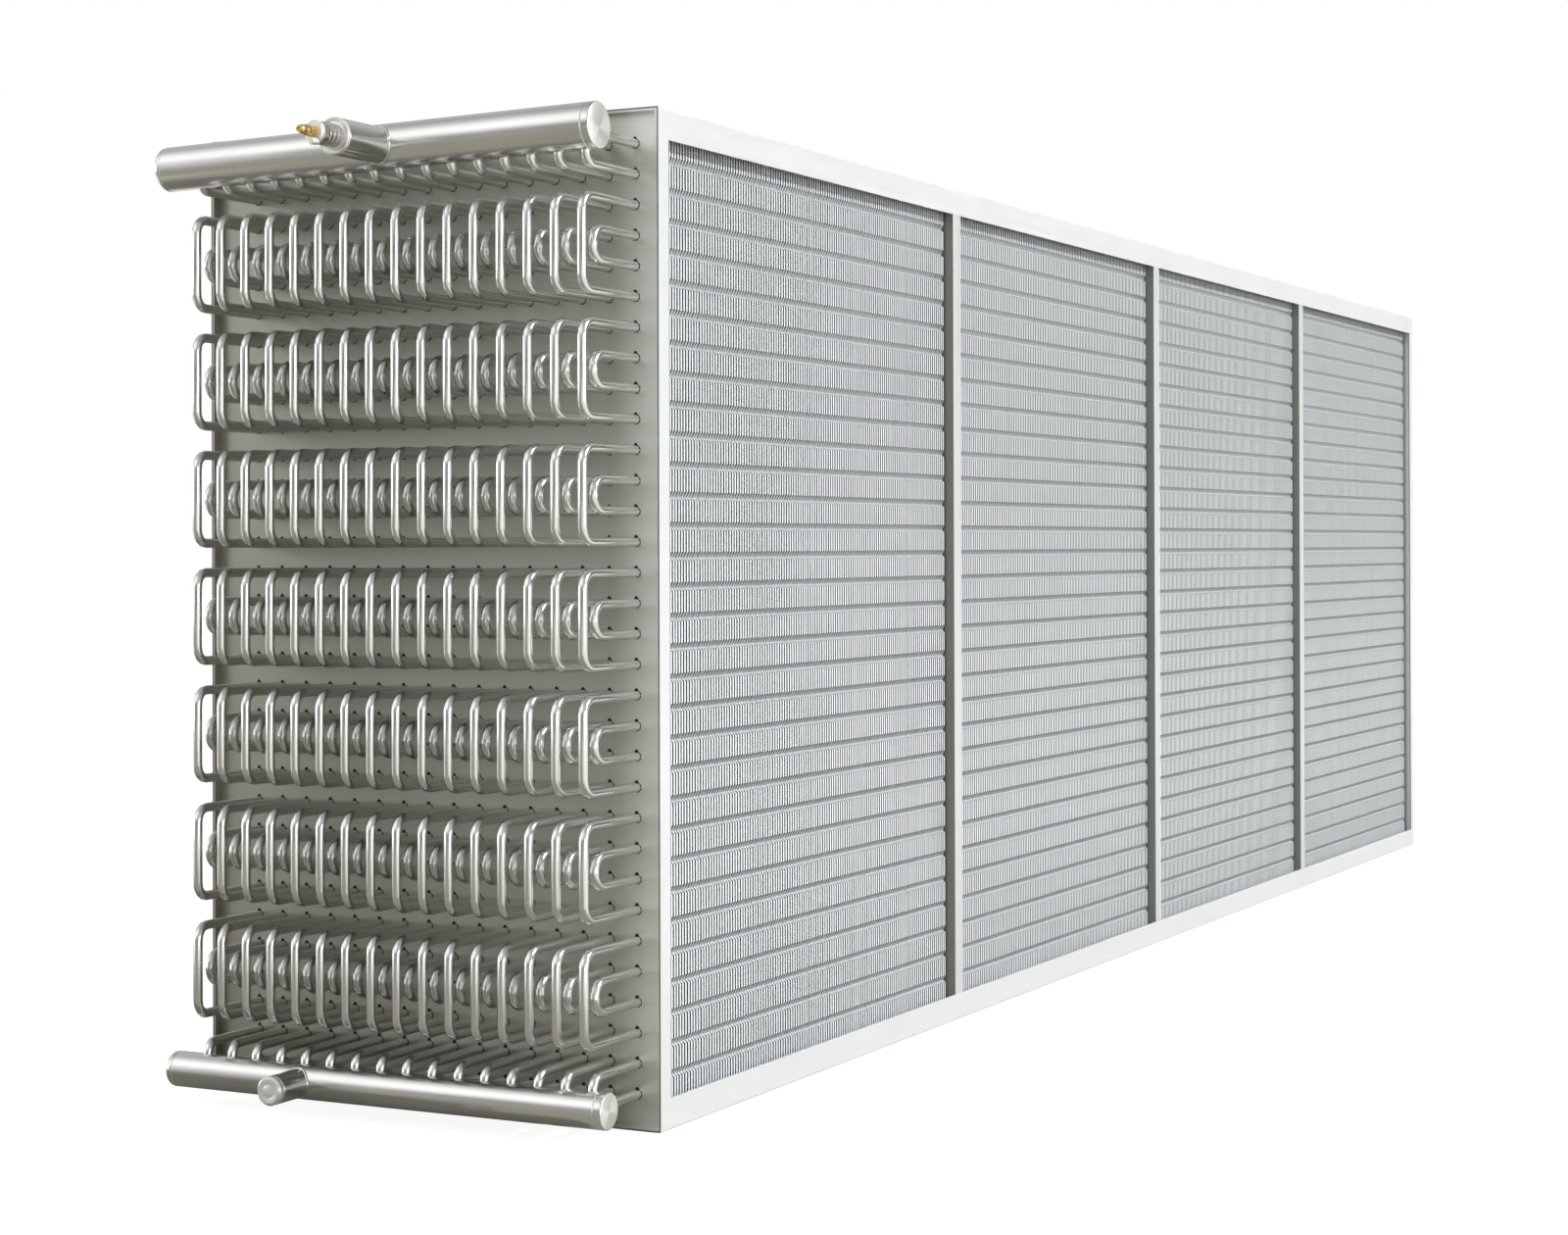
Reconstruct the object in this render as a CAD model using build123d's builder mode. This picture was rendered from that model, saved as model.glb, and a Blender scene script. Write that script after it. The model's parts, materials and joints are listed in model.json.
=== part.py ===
"""Finned-tube evaporator coil for a cold store: a slab of steel tubes in creased fins, in a folded casing.

Millimetres. X runs along the tubes, from the header end (-X) to the far end (+X). Y runs in the
direction of the air, from the open front (-Y) to the back. Z is up. The origin is the middle of the
underside of the casing, which is what the coil stands on.
"""

import os
from math import cos, pi, radians, sin, sqrt

from build123d import *

os.makedirs("parts", exist_ok=True)

# Tube field: rows are counted from the bottom, columns from the front.
rows = 32
columns = 16
pitch = 50
tube_diameter = 16

# Casing
bays = 4
station_pitch = 1267
strip_width = 36
sheet = 3
flange_depth = 17
lip_height = 51
fold_radius = 3
front_margin = 52
back_margin = 88
end_margin = 56

# Fins
fin_recess = 20
crease_depth = 5
crease_floor = 27
crease_edge = 37

# Return bends join rows in banks of four: eight banks at the far end, and at the header end seven,
# which start half a bank higher.
bank_rows = 4
outer_bend_reach = 178
inner_bend_reach = 144
outer_bend_sides = 5
inner_bend_sides = 4
stub_sides = 4
elbow_drop = 12

# Suction header, at the top
suction_diameter = 76.1
suction_wall = 3
suction_out = 165
suction_rise = 4
suction_front = -25
suction_length = 851
suction_branch_diameter = 60.3
suction_branch_column = 7.5
suction_branch_reach = 155

# Liquid header, at the bottom
liquid_diameter = 60.3
liquid_wall = 3
liquid_out = 150
liquid_front = -30
liquid_length = 852
liquid_branch_diameter = 48.3
liquid_branch_column = 11
liquid_branch_reach = 107

# Caps, plates and the test valve on the suction branch
cap_length = 15
cap_edge = 2.5
back_cap_edge = 8
branch_wall = 3
weld_width = 3
weld_length = 8
branch_plate_thickness = 6
branch_plate_edge = 1.5
liquid_cap_length = 13
liquid_cap_edge = 4
socket_diameter = 38
socket_length = 33
nut_across_flats = 32
nut_length = 15
collar_diameter = 30
collar_length = 8
core_diameter = 19
core_shoulder = 17
core_tip_diameter = 12
core_tip = 22

# Places that follow from them
tube_radius = tube_diameter / 2
half_length = (bays * station_pitch + strip_width) / 2
casing_depth = front_margin + (columns - 1) * pitch + back_margin
casing_height = 2 * end_margin + (rows - 1) * pitch
inside_depth = casing_depth - 2 * sheet
inside_height = casing_height - 2 * sheet
front_y = -casing_depth / 2
back_y = casing_depth / 2
first_column_y = front_y + front_margin
sheet_face_x = -half_length + flange_depth
opening_height = casing_height - 2 * lip_height
middle_z = casing_height / 2
stations = [(bay - bays / 2) * station_pitch for bay in range(bays + 1)]
far_bend_columns = (0, columns - 1)


def row_z(row):
    """Height of a tube row; row 0 is the lowest."""
    return end_margin + row * pitch


def save(piece, name):
    piece.part.label = name
    export_step(piece.part, f"parts/{name}.step")


# --- Casing -------------------------------------------------------------------------------------

# The bottom plate is a channel: a flat web with a lip turned up at the front and at the back.
with BuildPart() as bottom_plate:
    with BuildSketch(Plane.YZ.offset(-half_length)):
        Rectangle(casing_depth, lip_height, align=(Align.CENTER, Align.MIN))
        with Locations((0, sheet)):
            Rectangle(inside_depth, lip_height, align=(Align.CENTER, Align.MIN), mode=Mode.SUBTRACT)
    extrude(amount=2 * half_length)
    folds = bottom_plate.edges().filter_by(Axis.X).group_by(Axis.Z)
    fillet(folds[0], fold_radius)
save(bottom_plate, "bottom_plate")

# The top plate is the same channel turned over.
with BuildPart() as top_plate:
    mirror(bottom_plate.part, about=Plane.XY.offset(middle_z), mode=Mode.ADD)
save(top_plate, "top_plate")

# The near tube sheet is a tray: its four edges are folded outwards, towards the headers.
with BuildPart() as near_tube_sheet:
    with BuildSketch(Plane.YZ.offset(-half_length)):
        with Locations((0, middle_z)):
            Rectangle(inside_depth, inside_height)
            Rectangle(inside_depth - 2 * sheet, inside_height - 2 * sheet, mode=Mode.SUBTRACT)
    extrude(amount=flange_depth)
    with BuildSketch(Plane.YZ.offset(sheet_face_x)):
        with Locations((0, middle_z)):
            Rectangle(inside_depth, inside_height)
    extrude(amount=sheet)
    fillet(near_tube_sheet.faces().sort_by(Axis.X)[-1].edges(), fold_radius)
save(near_tube_sheet, "near_tube_sheet")

with BuildPart() as far_tube_sheet:
    mirror(near_tube_sheet.part, about=Plane.YZ, mode=Mode.ADD)
save(far_tube_sheet, "far_tube_sheet")


def end_strips(station):
    """The flat upright strips, front and back, that close the frame between the lips at one end."""
    with BuildPart() as strips:
        with BuildSketch(Plane.XY.offset(lip_height)):
            for y in (front_y + sheet / 2, back_y - sheet / 2):
                with Locations((station, y)):
                    Rectangle(strip_width, sheet)
        extrude(amount=opening_height)
    return strips


save(end_strips(stations[0]), "near_end_strips")
save(end_strips(stations[-1]), "far_end_strips")

# Each support plate is a web across the coil with a flange folded towards the far end, front and back.
for number, station in enumerate(stations[1:-1], start=1):
    web_x = station - strip_width / 2
    with BuildPart() as support_plate:
        with BuildSketch(Plane.XY.offset(lip_height)):
            with Locations((web_x, 0)):
                Rectangle(strip_width, casing_depth, align=(Align.MIN, Align.CENTER))
            with Locations((web_x + sheet, 0)):
                Rectangle(strip_width, inside_depth, align=(Align.MIN, Align.CENTER), mode=Mode.SUBTRACT)
        extrude(amount=opening_height)
        folds = support_plate.edges().filter_by(Axis.Z).group_by(Axis.X)
        fillet(folds[0], fold_radius)
        with BuildSketch(Plane.XY.offset(sheet)):
            with Locations((web_x, 0)):
                Rectangle(sheet, inside_depth, align=(Align.MIN, Align.CENTER))
        extrude(amount=inside_height)
    save(support_plate, f"support_plate_{number}")

# --- Fins ---------------------------------------------------------------------------------------

# One pack of fins fills each bay, from web to web. Just above the middle between two rows every fin
# is creased, so the front and the back of the pack step out there and lean back in up to the next crease.
fin_half_depth = casing_depth / 2 - fin_recess
crease = [(crease_depth, crease_floor), (0, crease_edge)]
fin_side = [(-fin_half_depth, sheet)]
fin_side += [(depth - fin_half_depth, row_z(row) + z) for row in range(rows - 1) for depth, z in crease]
fin_side += [(-fin_half_depth, casing_height - sheet)]
fin_outline = fin_side + [(-y, z) for y, z in reversed(fin_side)]

web_starts = [station - strip_width / 2 for station in stations[1:-1]] + [-sheet_face_x - sheet]
web_ends = [sheet_face_x + sheet] + [start + sheet for start in web_starts[:-1]]

for number, (start, end) in enumerate(zip(web_ends, web_starts), start=1):
    with BuildPart() as fin_pack:
        with BuildSketch(Plane.YZ.offset(start)):
            with BuildLine():
                Polyline(*fin_outline, close=True)
            make_face()
        extrude(amount=end - start)
    save(fin_pack, f"fin_pack_{number}")

# --- Return bends and stub tubes ----------------------------------------------------------------


def section_radius(sides):
    """Corner radius of the regular polygon that has the same area as the round tube."""
    return tube_radius * sqrt(2 * pi / (sides * sin(2 * pi / sides)))


def bent_tube(route, sides):
    """A tube along straight runs in the XZ plane, mitred where it turns, with a many-sided section."""
    with BuildPart() as tube:
        with BuildLine(Plane.XZ) as runs:
            Polyline(*route)
        with BuildSketch(Plane(origin=runs.line @ 0, x_dir=(0, 1, 0), z_dir=runs.line % 0)):
            RegularPolygon(section_radius(sides), side_count=sides, rotation=180 / sides)
        sweep(path=runs.line, transition=Transition.RIGHT)
    return tube.part


def in_columns(tubes, columns_used):
    """The same tubes in each of the given columns, as separate solids of one piece."""
    with BuildPart() as group:
        with Locations(*[(0, first_column_y + column * pitch, 0) for column in columns_used]):
            for tube in tubes:
                add(tube)
    return group


def outer_bend(face_x, way, low):
    """The wide hairpin that joins the lowest and the highest row of a bank (way is -1 at the near end)."""
    high = low + (bank_rows - 1) * pitch
    bar_x = face_x + way * outer_bend_reach
    return bent_tube([(face_x, low), (bar_x, low), (bar_x, high), (face_x, high)], outer_bend_sides)


def inner_bend(face_x, way, low):
    """The half circle that joins the two rows between, in straight runs that touch its arc."""
    turn_radius = pitch / 2
    centre_x = face_x + way * (inner_bend_reach - turn_radius)
    centre_z = low + 1.5 * pitch
    corner_radius = turn_radius / cos(radians(30))
    corners = [
        (centre_x + way * corner_radius * sin(radians(turn)), centre_z - corner_radius * cos(radians(turn)))
        for turn in (30, 90, 150)
    ]
    feet_z = (low + pitch, low + 2 * pitch)
    return bent_tube([(face_x, feet_z[0])] + corners + [(face_x, feet_z[1])], inner_bend_sides)


def bank_bottoms(first_row):
    """Height of the lowest row of each whole bank, counted from a first row."""
    return [row_z(row) for row in range(first_row, rows - bank_rows + 1, bank_rows)]


for number, low in enumerate(bank_bottoms(bank_rows // 2), start=1):
    save(in_columns([outer_bend(sheet_face_x, -1, low)], range(columns)), f"outer_bends_{number}")
    save(in_columns([inner_bend(sheet_face_x, -1, low)], range(columns)), f"inner_bends_{number}")

# The far end has a bend of each kind in every bank and column. Those between the first and the last
# column are left out here, to keep the model light.
far_outer = [outer_bend(-sheet_face_x, 1, low) for low in bank_bottoms(0)]
save(in_columns(far_outer, far_bend_columns), "far_outer_bends")
far_inner = [inner_bend(-sheet_face_x, 1, low) for low in bank_bottoms(0)]
save(in_columns(far_inner, far_bend_columns), "far_inner_bends")

suction_x = sheet_face_x - suction_out
suction_z = row_z(rows - 1) + suction_rise
liquid_x = sheet_face_x - liquid_out
liquid_z = row_z(0)


def straight_stub(z, header_x, header_diameter):
    """From a tube in the outermost row straight to the side of its header."""
    return bent_tube([(sheet_face_x, z), (header_x + header_diameter / 2, z)], stub_sides)


def elbow_stub(z, header_x, header_z, header_diameter, side):
    """From a tube in the next row out under or over its header, and then into it (side is 1 for up)."""
    route = [
        (sheet_face_x, z),
        (header_x + elbow_drop, z),
        (header_x, z + side * elbow_drop),
        (header_x, header_z - side * header_diameter / 2),
    ]
    return bent_tube(route, stub_sides)


suction_straight = straight_stub(row_z(rows - 1), suction_x, suction_diameter)
save(in_columns([suction_straight], range(columns)), "suction_straight_stubs")
suction_elbow = elbow_stub(row_z(rows - 2), suction_x, suction_z, suction_diameter, 1)
save(in_columns([suction_elbow], range(columns)), "suction_elbow_stubs")
liquid_straight = straight_stub(row_z(0), liquid_x, liquid_diameter)
save(in_columns([liquid_straight], range(columns)), "liquid_straight_stubs")
liquid_elbow = elbow_stub(row_z(1), liquid_x, liquid_z, liquid_diameter, -1)
save(in_columns([liquid_elbow], range(columns)), "liquid_elbow_stubs")

# --- Headers ------------------------------------------------------------------------------------


def along_y(x, y, z):
    """A plane across a header, looking towards the back."""
    return Plane(origin=(x, y, z), x_dir=(1, 0, 0), z_dir=(0, 1, 0))


def along_minus_x(x, y, z):
    """A plane across a branch, looking away from the coil."""
    return Plane(origin=(x, y, z), x_dir=(0, 1, 0), z_dir=(-1, 0, 0))


def header_pipe(x, front, z, diameter, wall, length, branch_y, branch_bore):
    """A pipe between its two caps, with the hole that its branch opens into."""
    with BuildPart() as pipe:
        with BuildSketch(along_y(x, front + cap_length, z)):
            Circle(diameter / 2)
            Circle(diameter / 2 - wall, mode=Mode.SUBTRACT)
        extrude(amount=length - 2 * cap_length)
        with BuildSketch(along_minus_x(x, branch_y, z)):
            Circle(branch_bore / 2)
        extrude(amount=diameter, mode=Mode.SUBTRACT)
    return pipe


def header_caps(x, front, z, diameter, length):
    """The two welded caps: a flat one at the front and one with a deeper bevel at the back."""
    with BuildPart() as caps:
        with BuildSketch(along_y(x, front, z)):
            Circle(diameter / 2)
        extrude(amount=cap_length)
        chamfer(caps.faces().sort_by(Axis.Y)[0].edges(), cap_edge)
        with BuildSketch(along_y(x, front + length - cap_length, z)):
            Circle(diameter / 2)
        extrude(amount=cap_length)
        chamfer(caps.faces().sort_by(Axis.Y)[-1].edges(), back_cap_edge)
    return caps


def branch_pipe(header_x, y, z, header_diameter, diameter, length):
    """A pipe saddled on the header's side, with the weld bead around its root."""
    with BuildPart() as pipe:
        with BuildSketch(along_minus_x(header_x, y, z)):
            Circle(diameter / 2)
        extrude(amount=length)
        with BuildSketch(along_minus_x(header_x, y, z)):
            Circle(diameter / 2 + weld_width)
        extrude(amount=header_diameter / 2 + weld_length)
        with BuildSketch(along_minus_x(header_x, y, z)):
            Circle(diameter / 2 - branch_wall)
        extrude(amount=length, mode=Mode.SUBTRACT)
        with Locations(Location((header_x, y, z), (90, 0, 0))):
            Cylinder(header_diameter / 2, 2 * diameter, mode=Mode.SUBTRACT)
    return pipe


def disc(x, y, z, diameter, thickness, edge):
    """A round plate or plug across a branch, with its outer edge bevelled."""
    with BuildPart() as plate:
        with BuildSketch(along_minus_x(x, y, z)):
            Circle(diameter / 2)
        extrude(amount=thickness)
        chamfer(plate.faces().sort_by(Axis.X)[0].edges(), edge)
    return plate


suction_front_y = first_column_y + suction_front
suction_branch_y = first_column_y + suction_branch_column * pitch
suction_bore = suction_branch_diameter - 2 * branch_wall
suction_pipe_length = suction_branch_reach - branch_plate_thickness
suction_plate_x = suction_x - suction_pipe_length
suction_end_x = suction_x - suction_branch_reach

save(
    header_pipe(
        suction_x, suction_front_y, suction_z, suction_diameter, suction_wall,
        suction_length, suction_branch_y, suction_bore,
    ),
    "suction_header",
)
save(
    header_caps(suction_x, suction_front_y, suction_z, suction_diameter, suction_length),
    "suction_header_caps",
)
save(
    branch_pipe(
        suction_x, suction_branch_y, suction_z, suction_diameter, suction_branch_diameter, suction_pipe_length
    ),
    "suction_branch",
)
save(
    disc(
        suction_plate_x, suction_branch_y, suction_z, suction_branch_diameter,
        branch_plate_thickness, branch_plate_edge,
    ),
    "suction_branch_plate",
)

# The test valve stands on the plate: a socket, a hexagon nut, a collar and a brass core.
socket_end_x = suction_end_x - socket_length
nut_end_x = socket_end_x - nut_length
collar_end_x = nut_end_x - collar_length

save(disc(suction_end_x, suction_branch_y, suction_z, socket_diameter, socket_length, 1), "valve_socket")

with BuildPart() as valve_nut:
    with BuildSketch(along_minus_x(socket_end_x, suction_branch_y, suction_z)):
        RegularPolygon(nut_across_flats / 2, side_count=6, major_radius=False)
    extrude(amount=nut_length)
save(valve_nut, "valve_nut")

save(disc(nut_end_x, suction_branch_y, suction_z, collar_diameter, collar_length, 1), "valve_collar")

with BuildPart() as valve_core:
    with BuildSketch(along_minus_x(collar_end_x, suction_branch_y, suction_z)):
        Circle(core_diameter / 2)
    extrude(amount=core_shoulder)
    with BuildSketch(along_minus_x(collar_end_x - core_shoulder, suction_branch_y, suction_z)):
        Circle(core_tip_diameter / 2)
    extrude(amount=core_tip)
save(valve_core, "valve_core")

liquid_front_y = first_column_y + liquid_front
liquid_branch_y = first_column_y + liquid_branch_column * pitch
liquid_bore = liquid_branch_diameter - 2 * branch_wall
liquid_pipe_length = liquid_branch_reach - liquid_cap_length

save(
    header_pipe(
        liquid_x, liquid_front_y, liquid_z, liquid_diameter, liquid_wall,
        liquid_length, liquid_branch_y, liquid_bore,
    ),
    "liquid_header",
)
save(header_caps(liquid_x, liquid_front_y, liquid_z, liquid_diameter, liquid_length), "liquid_header_caps")
save(
    branch_pipe(
        liquid_x, liquid_branch_y, liquid_z, liquid_diameter, liquid_branch_diameter, liquid_pipe_length
    ),
    "liquid_branch",
)
save(
    disc(
        liquid_x - liquid_pipe_length, liquid_branch_y, liquid_z, liquid_branch_diameter,
        liquid_cap_length, liquid_cap_edge,
    ),
    "liquid_branch_cap",
)
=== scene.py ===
import bmesh
import bpy
import json
import math
from mathutils import Matrix, Vector


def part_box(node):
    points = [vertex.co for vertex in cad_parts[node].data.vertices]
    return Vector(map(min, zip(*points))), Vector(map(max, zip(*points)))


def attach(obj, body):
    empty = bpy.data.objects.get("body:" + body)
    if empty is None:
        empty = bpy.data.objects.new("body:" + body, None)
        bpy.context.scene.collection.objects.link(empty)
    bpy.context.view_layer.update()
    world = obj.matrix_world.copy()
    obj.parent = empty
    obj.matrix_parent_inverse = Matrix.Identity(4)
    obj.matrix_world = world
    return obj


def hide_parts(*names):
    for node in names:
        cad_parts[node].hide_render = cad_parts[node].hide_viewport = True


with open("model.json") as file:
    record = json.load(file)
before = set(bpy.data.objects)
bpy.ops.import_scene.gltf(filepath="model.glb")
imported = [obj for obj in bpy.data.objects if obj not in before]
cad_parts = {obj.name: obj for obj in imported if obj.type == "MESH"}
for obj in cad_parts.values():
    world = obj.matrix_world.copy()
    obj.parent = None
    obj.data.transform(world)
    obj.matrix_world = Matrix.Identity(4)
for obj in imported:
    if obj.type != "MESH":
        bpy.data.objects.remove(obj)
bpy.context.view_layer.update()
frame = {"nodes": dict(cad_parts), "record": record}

print("coil scene: frame loaded")


def newObject(name, mesh):
    piece = bpy.data.objects.new(name, mesh)
    bpy.context.collection.objects.link(piece)
    return piece


def meshFrom(name, verts, faces=(), edges=()):
    mesh = bpy.data.meshes.new(name)
    mesh.from_pydata(verts, edges, faces)
    mesh.update()
    return mesh


def finishPiece(piece, nodeNames=()):
    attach(piece, "root")
    if nodeNames:
        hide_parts(*nodeNames)


def startTree(treeName, inputs):
    # a geometry node group with its named inputs, ready for its nodes
    tree = bpy.data.node_groups.new(treeName, "GeometryNodeTree")
    tree.interface.new_socket("Geometry", in_out="INPUT", socket_type="NodeSocketGeometry")
    for inputName, socketType in inputs:
        tree.interface.new_socket(inputName, in_out="INPUT", socket_type=socketType)
    tree.interface.new_socket("Geometry", in_out="OUTPUT", socket_type="NodeSocketGeometry")
    groupIn = tree.nodes.new("NodeGroupInput")
    groupOut = tree.nodes.new("NodeGroupOutput")
    return tree, groupIn, groupOut


def runTree(piece, tree, values):
    # sets the inputs by identifier, evaluates once and leaves a plain mesh
    modifier = piece.modifiers.new(tree.name, "NODES")
    modifier.node_group = tree
    for item in tree.interface.items_tree:
        if item.item_type == "SOCKET" and item.in_out == "INPUT" and item.name in values:
            modifier[item.identifier] = values[item.name]
    graph = bpy.context.evaluated_depsgraph_get()
    made = bpy.data.meshes.new_from_object(piece.evaluated_get(graph))
    made.name = piece.name
    piece.modifiers.remove(modifier)
    piece.data = made


def lathe(name, profile, origin, axis, sides=64, sharpAngle=35):
    # turns (distance along axis, radius) points round an axis; a radius of 0 closes an end
    direction = Vector(axis).normalized()
    turn = Vector((0, 0, 1)).rotation_difference(direction).to_matrix()
    work = bmesh.new()
    rings = []
    for along, radius in profile:
        if radius == 0:
            rings.append([work.verts.new(Vector(origin) + turn @ Vector((0, 0, along)))])
            continue
        ring = []
        for step in range(sides):
            angle = 2 * math.pi * step / sides
            spot = Vector((radius * math.cos(angle), radius * math.sin(angle), along))
            ring.append(work.verts.new(Vector(origin) + turn @ spot))
        rings.append(ring)
    for lower, upper in zip(rings, rings[1:]):
        for step in range(sides):
            after = (step + 1) % sides
            corners = [lower[step % len(lower)], lower[after % len(lower)],
                       upper[after % len(upper)], upper[step % len(upper)]]
            unique = []
            for vert in corners:
                if vert not in unique:
                    unique.append(vert)
            work.faces.new(unique)
    bmesh.ops.recalc_face_normals(work, faces=work.faces)
    mesh = bpy.data.meshes.new(name)
    work.to_mesh(mesh)
    work.free()
    mesh.shade_smooth()
    mesh.set_sharp_from_angle(angle=math.radians(sharpAngle))
    return newObject(name, mesh)


def startFinish(name):
    material = bpy.data.materials.new(name)
    material.use_nodes = True
    nodes = material.node_tree.nodes
    return material, nodes, material.node_tree.links, nodes["Principled BSDF"]


# how far the grain moves a metal's roughness, and how deep it is in metres
grainEffect = {"smoothest": 0.75, "roughest": 1.3, "relief": 0.001}


def metalFinish(name, colour, shade, roughness, grainScale, bump=0.02, metallic=1.0, mottleScale=6.0):
    # brushed or rolled metal: stretched noise for the grain, a slow one for the mottling
    material, nodes, links, shader = startFinish(name)
    shader.inputs["Metallic"].default_value = metallic
    place = nodes.new("ShaderNodeTexCoord")
    stretch = nodes.new("ShaderNodeMapping")
    stretch.inputs["Scale"].default_value = grainScale
    grain = nodes.new("ShaderNodeTexNoise")
    grain.inputs["Scale"].default_value = 1.0
    grain.inputs["Detail"].default_value = 3.0
    links.new(place.outputs["Object"], stretch.inputs["Vector"])
    links.new(stretch.outputs["Vector"], grain.inputs["Vector"])
    mottle = nodes.new("ShaderNodeTexNoise")
    mottle.inputs["Scale"].default_value = mottleScale
    mottle.inputs["Detail"].default_value = 4.0
    links.new(place.outputs["Object"], mottle.inputs["Vector"])
    blend = nodes.new("ShaderNodeMix")
    blend.data_type = "RGBA"
    blend.inputs["A"].default_value = (*colour, 1)
    blend.inputs["B"].default_value = (*shade, 1)
    links.new(mottle.outputs["Fac"], blend.inputs["Factor"])
    links.new(blend.outputs["Result"], shader.inputs["Base Color"])
    spread = nodes.new("ShaderNodeMapRange")
    spread.inputs["To Min"].default_value = roughness * grainEffect["smoothest"]
    spread.inputs["To Max"].default_value = roughness * grainEffect["roughest"]
    links.new(grain.outputs["Fac"], spread.inputs["Value"])
    links.new(spread.outputs["Result"], shader.inputs["Roughness"])
    relief = nodes.new("ShaderNodeBump")
    relief.inputs["Strength"].default_value = bump
    relief.inputs["Distance"].default_value = grainEffect["relief"]
    links.new(grain.outputs["Fac"], relief.inputs["Height"])
    links.new(relief.outputs["Normal"], shader.inputs["Normal"])
    return material


metalValues = {
    "casing": {"name": "casingSheet", "colour": (0.80, 0.82, 0.825), "shade": (0.75, 0.77, 0.775),
               "roughness": 0.45, "grainScale": (6, 90, 90), "bump": 0.03, "metallic": 0.35},
    "supports": {"name": "supportSheet", "colour": (0.68, 0.70, 0.695), "shade": (0.63, 0.645, 0.64),
                 "roughness": 0.45, "grainScale": (6, 90, 90), "bump": 0.03, "metallic": 0.35},
    "tube_sheet": {"name": "tubeSheetSteel", "colour": (0.93, 0.93, 0.90), "shade": (0.86, 0.86, 0.82),
                   "roughness": 0.36, "grainScale": (60, 60, 8), "bump": 0.05, "metallic": 0.95},
    "fins": {"name": "finAluminium", "colour": (0.92, 0.955, 0.98), "shade": (0.85, 0.885, 0.915),
             "roughness": 0.38, "grainScale": (20, 4, 50), "bump": 0.02, "metallic": 0.3},
    "tubes": {"name": "tubeSteel", "colour": (0.79, 0.795, 0.785), "shade": (0.63, 0.63, 0.61),
              "roughness": 0.23, "grainScale": (90, 90, 90), "bump": 0.02},
    "header_pipe": {"name": "headerSteel", "colour": (0.78, 0.785, 0.77), "shade": (0.67, 0.67, 0.645),
                    "roughness": 0.22, "grainScale": (160, 8, 160), "bump": 0.06},
    "turned_caps": {"name": "turnedSteel", "colour": (0.84, 0.84, 0.81), "shade": (0.76, 0.76, 0.72),
                    "roughness": 0.3, "grainScale": (120, 120, 120), "bump": 0.03, "metallic": 0.5},
    "valve_steel": {"name": "valveSteel", "colour": (0.62, 0.61, 0.58), "shade": (0.5, 0.49, 0.46),
                    "roughness": 0.3, "grainScale": (150, 150, 150), "bump": 0.03},
    "pale_collar": {"name": "collarMetal", "colour": (0.88, 0.88, 0.86), "shade": (0.8, 0.8, 0.78),
                    "roughness": 0.4, "grainScale": (150, 150, 150), "bump": 0.02, "metallic": 0.6},
    "brass": {"name": "valveBrass", "colour": (0.83, 0.62, 0.28), "shade": (0.68, 0.47, 0.18),
              "roughness": 0.26, "grainScale": (150, 150, 150), "bump": 0.03},
}
finishes = {slotName: metalFinish(**values) for slotName, values in metalValues.items()}


def addMap(nodes, links, value, low, high, toLow, toHigh):
    # a smooth step of one value between two levels; low may be above high
    step = nodes.new("ShaderNodeMapRange")
    step.interpolation_type = "SMOOTHSTEP"
    for inputName, number in (("From Min", low), ("From Max", high), ("To Min", toLow), ("To Max", toHigh)):
        step.inputs[inputName].default_value = number
    links.new(value, step.inputs["Value"])
    return step.outputs["Result"]


def addMath(nodes, links, operation, first, second=None):
    node = nodes.new("ShaderNodeMath")
    node.operation = operation
    links.new(first, node.inputs[0])
    if second is not None:
        links.new(second, node.inputs[1])
    return node.outputs[0]


def paintShadeByFacing(material, axis, paintedShadeColour, none, full, upwardShare=1.0):
    # paints shade: mixes in a darker colour by how far a face looks along an axis of the object; faces
    # looking up get only upwardShare of it
    nodes, links = material.node_tree.nodes, material.node_tree.links
    shader = nodes["Principled BSDF"]
    painted = shader.inputs["Base Color"].links[0].from_socket
    place = nodes.new("ShaderNodeTexCoord")
    split = nodes.new("ShaderNodeSeparateXYZ")
    links.new(place.outputs["Normal"], split.inputs["Vector"])
    facing = addMath(nodes, links, "ABSOLUTE", split.outputs[axis])
    amount = addMap(nodes, links, facing, none, full, 0.0, 1.0)
    upward = addMap(nodes, links, split.outputs["Z"], 0.3, 0.7, 1.0, upwardShare)
    blend = nodes.new("ShaderNodeMix")
    blend.data_type = "RGBA"
    blend.inputs["B"].default_value = (*paintedShadeColour, 1)
    links.new(addMath(nodes, links, "MULTIPLY", amount, upward), blend.inputs["Factor"])
    links.new(painted, blend.inputs["A"])
    links.new(blend.outputs["Result"], shader.inputs["Base Color"])


# painted shade on the fins: the webs and crease faces, deep in the gaps, are darkened, faces looking up less
# so, as if lit from above; the lips at the front and back edges keep the bright fin colour
paintShadeByFacing(finishes["fins"], "Y", (0.32, 0.355, 0.37), 1.0, 0.86, 0.45)
# painted shade on the folded plates: faces looking along the coil, such as their webs, are darkened against
# the flanges
for slotName in ("casing", "supports"):
    paintShadeByFacing(finishes[slotName], "X", (0.26, 0.26, 0.235), 0.6, 0.95)


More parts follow.
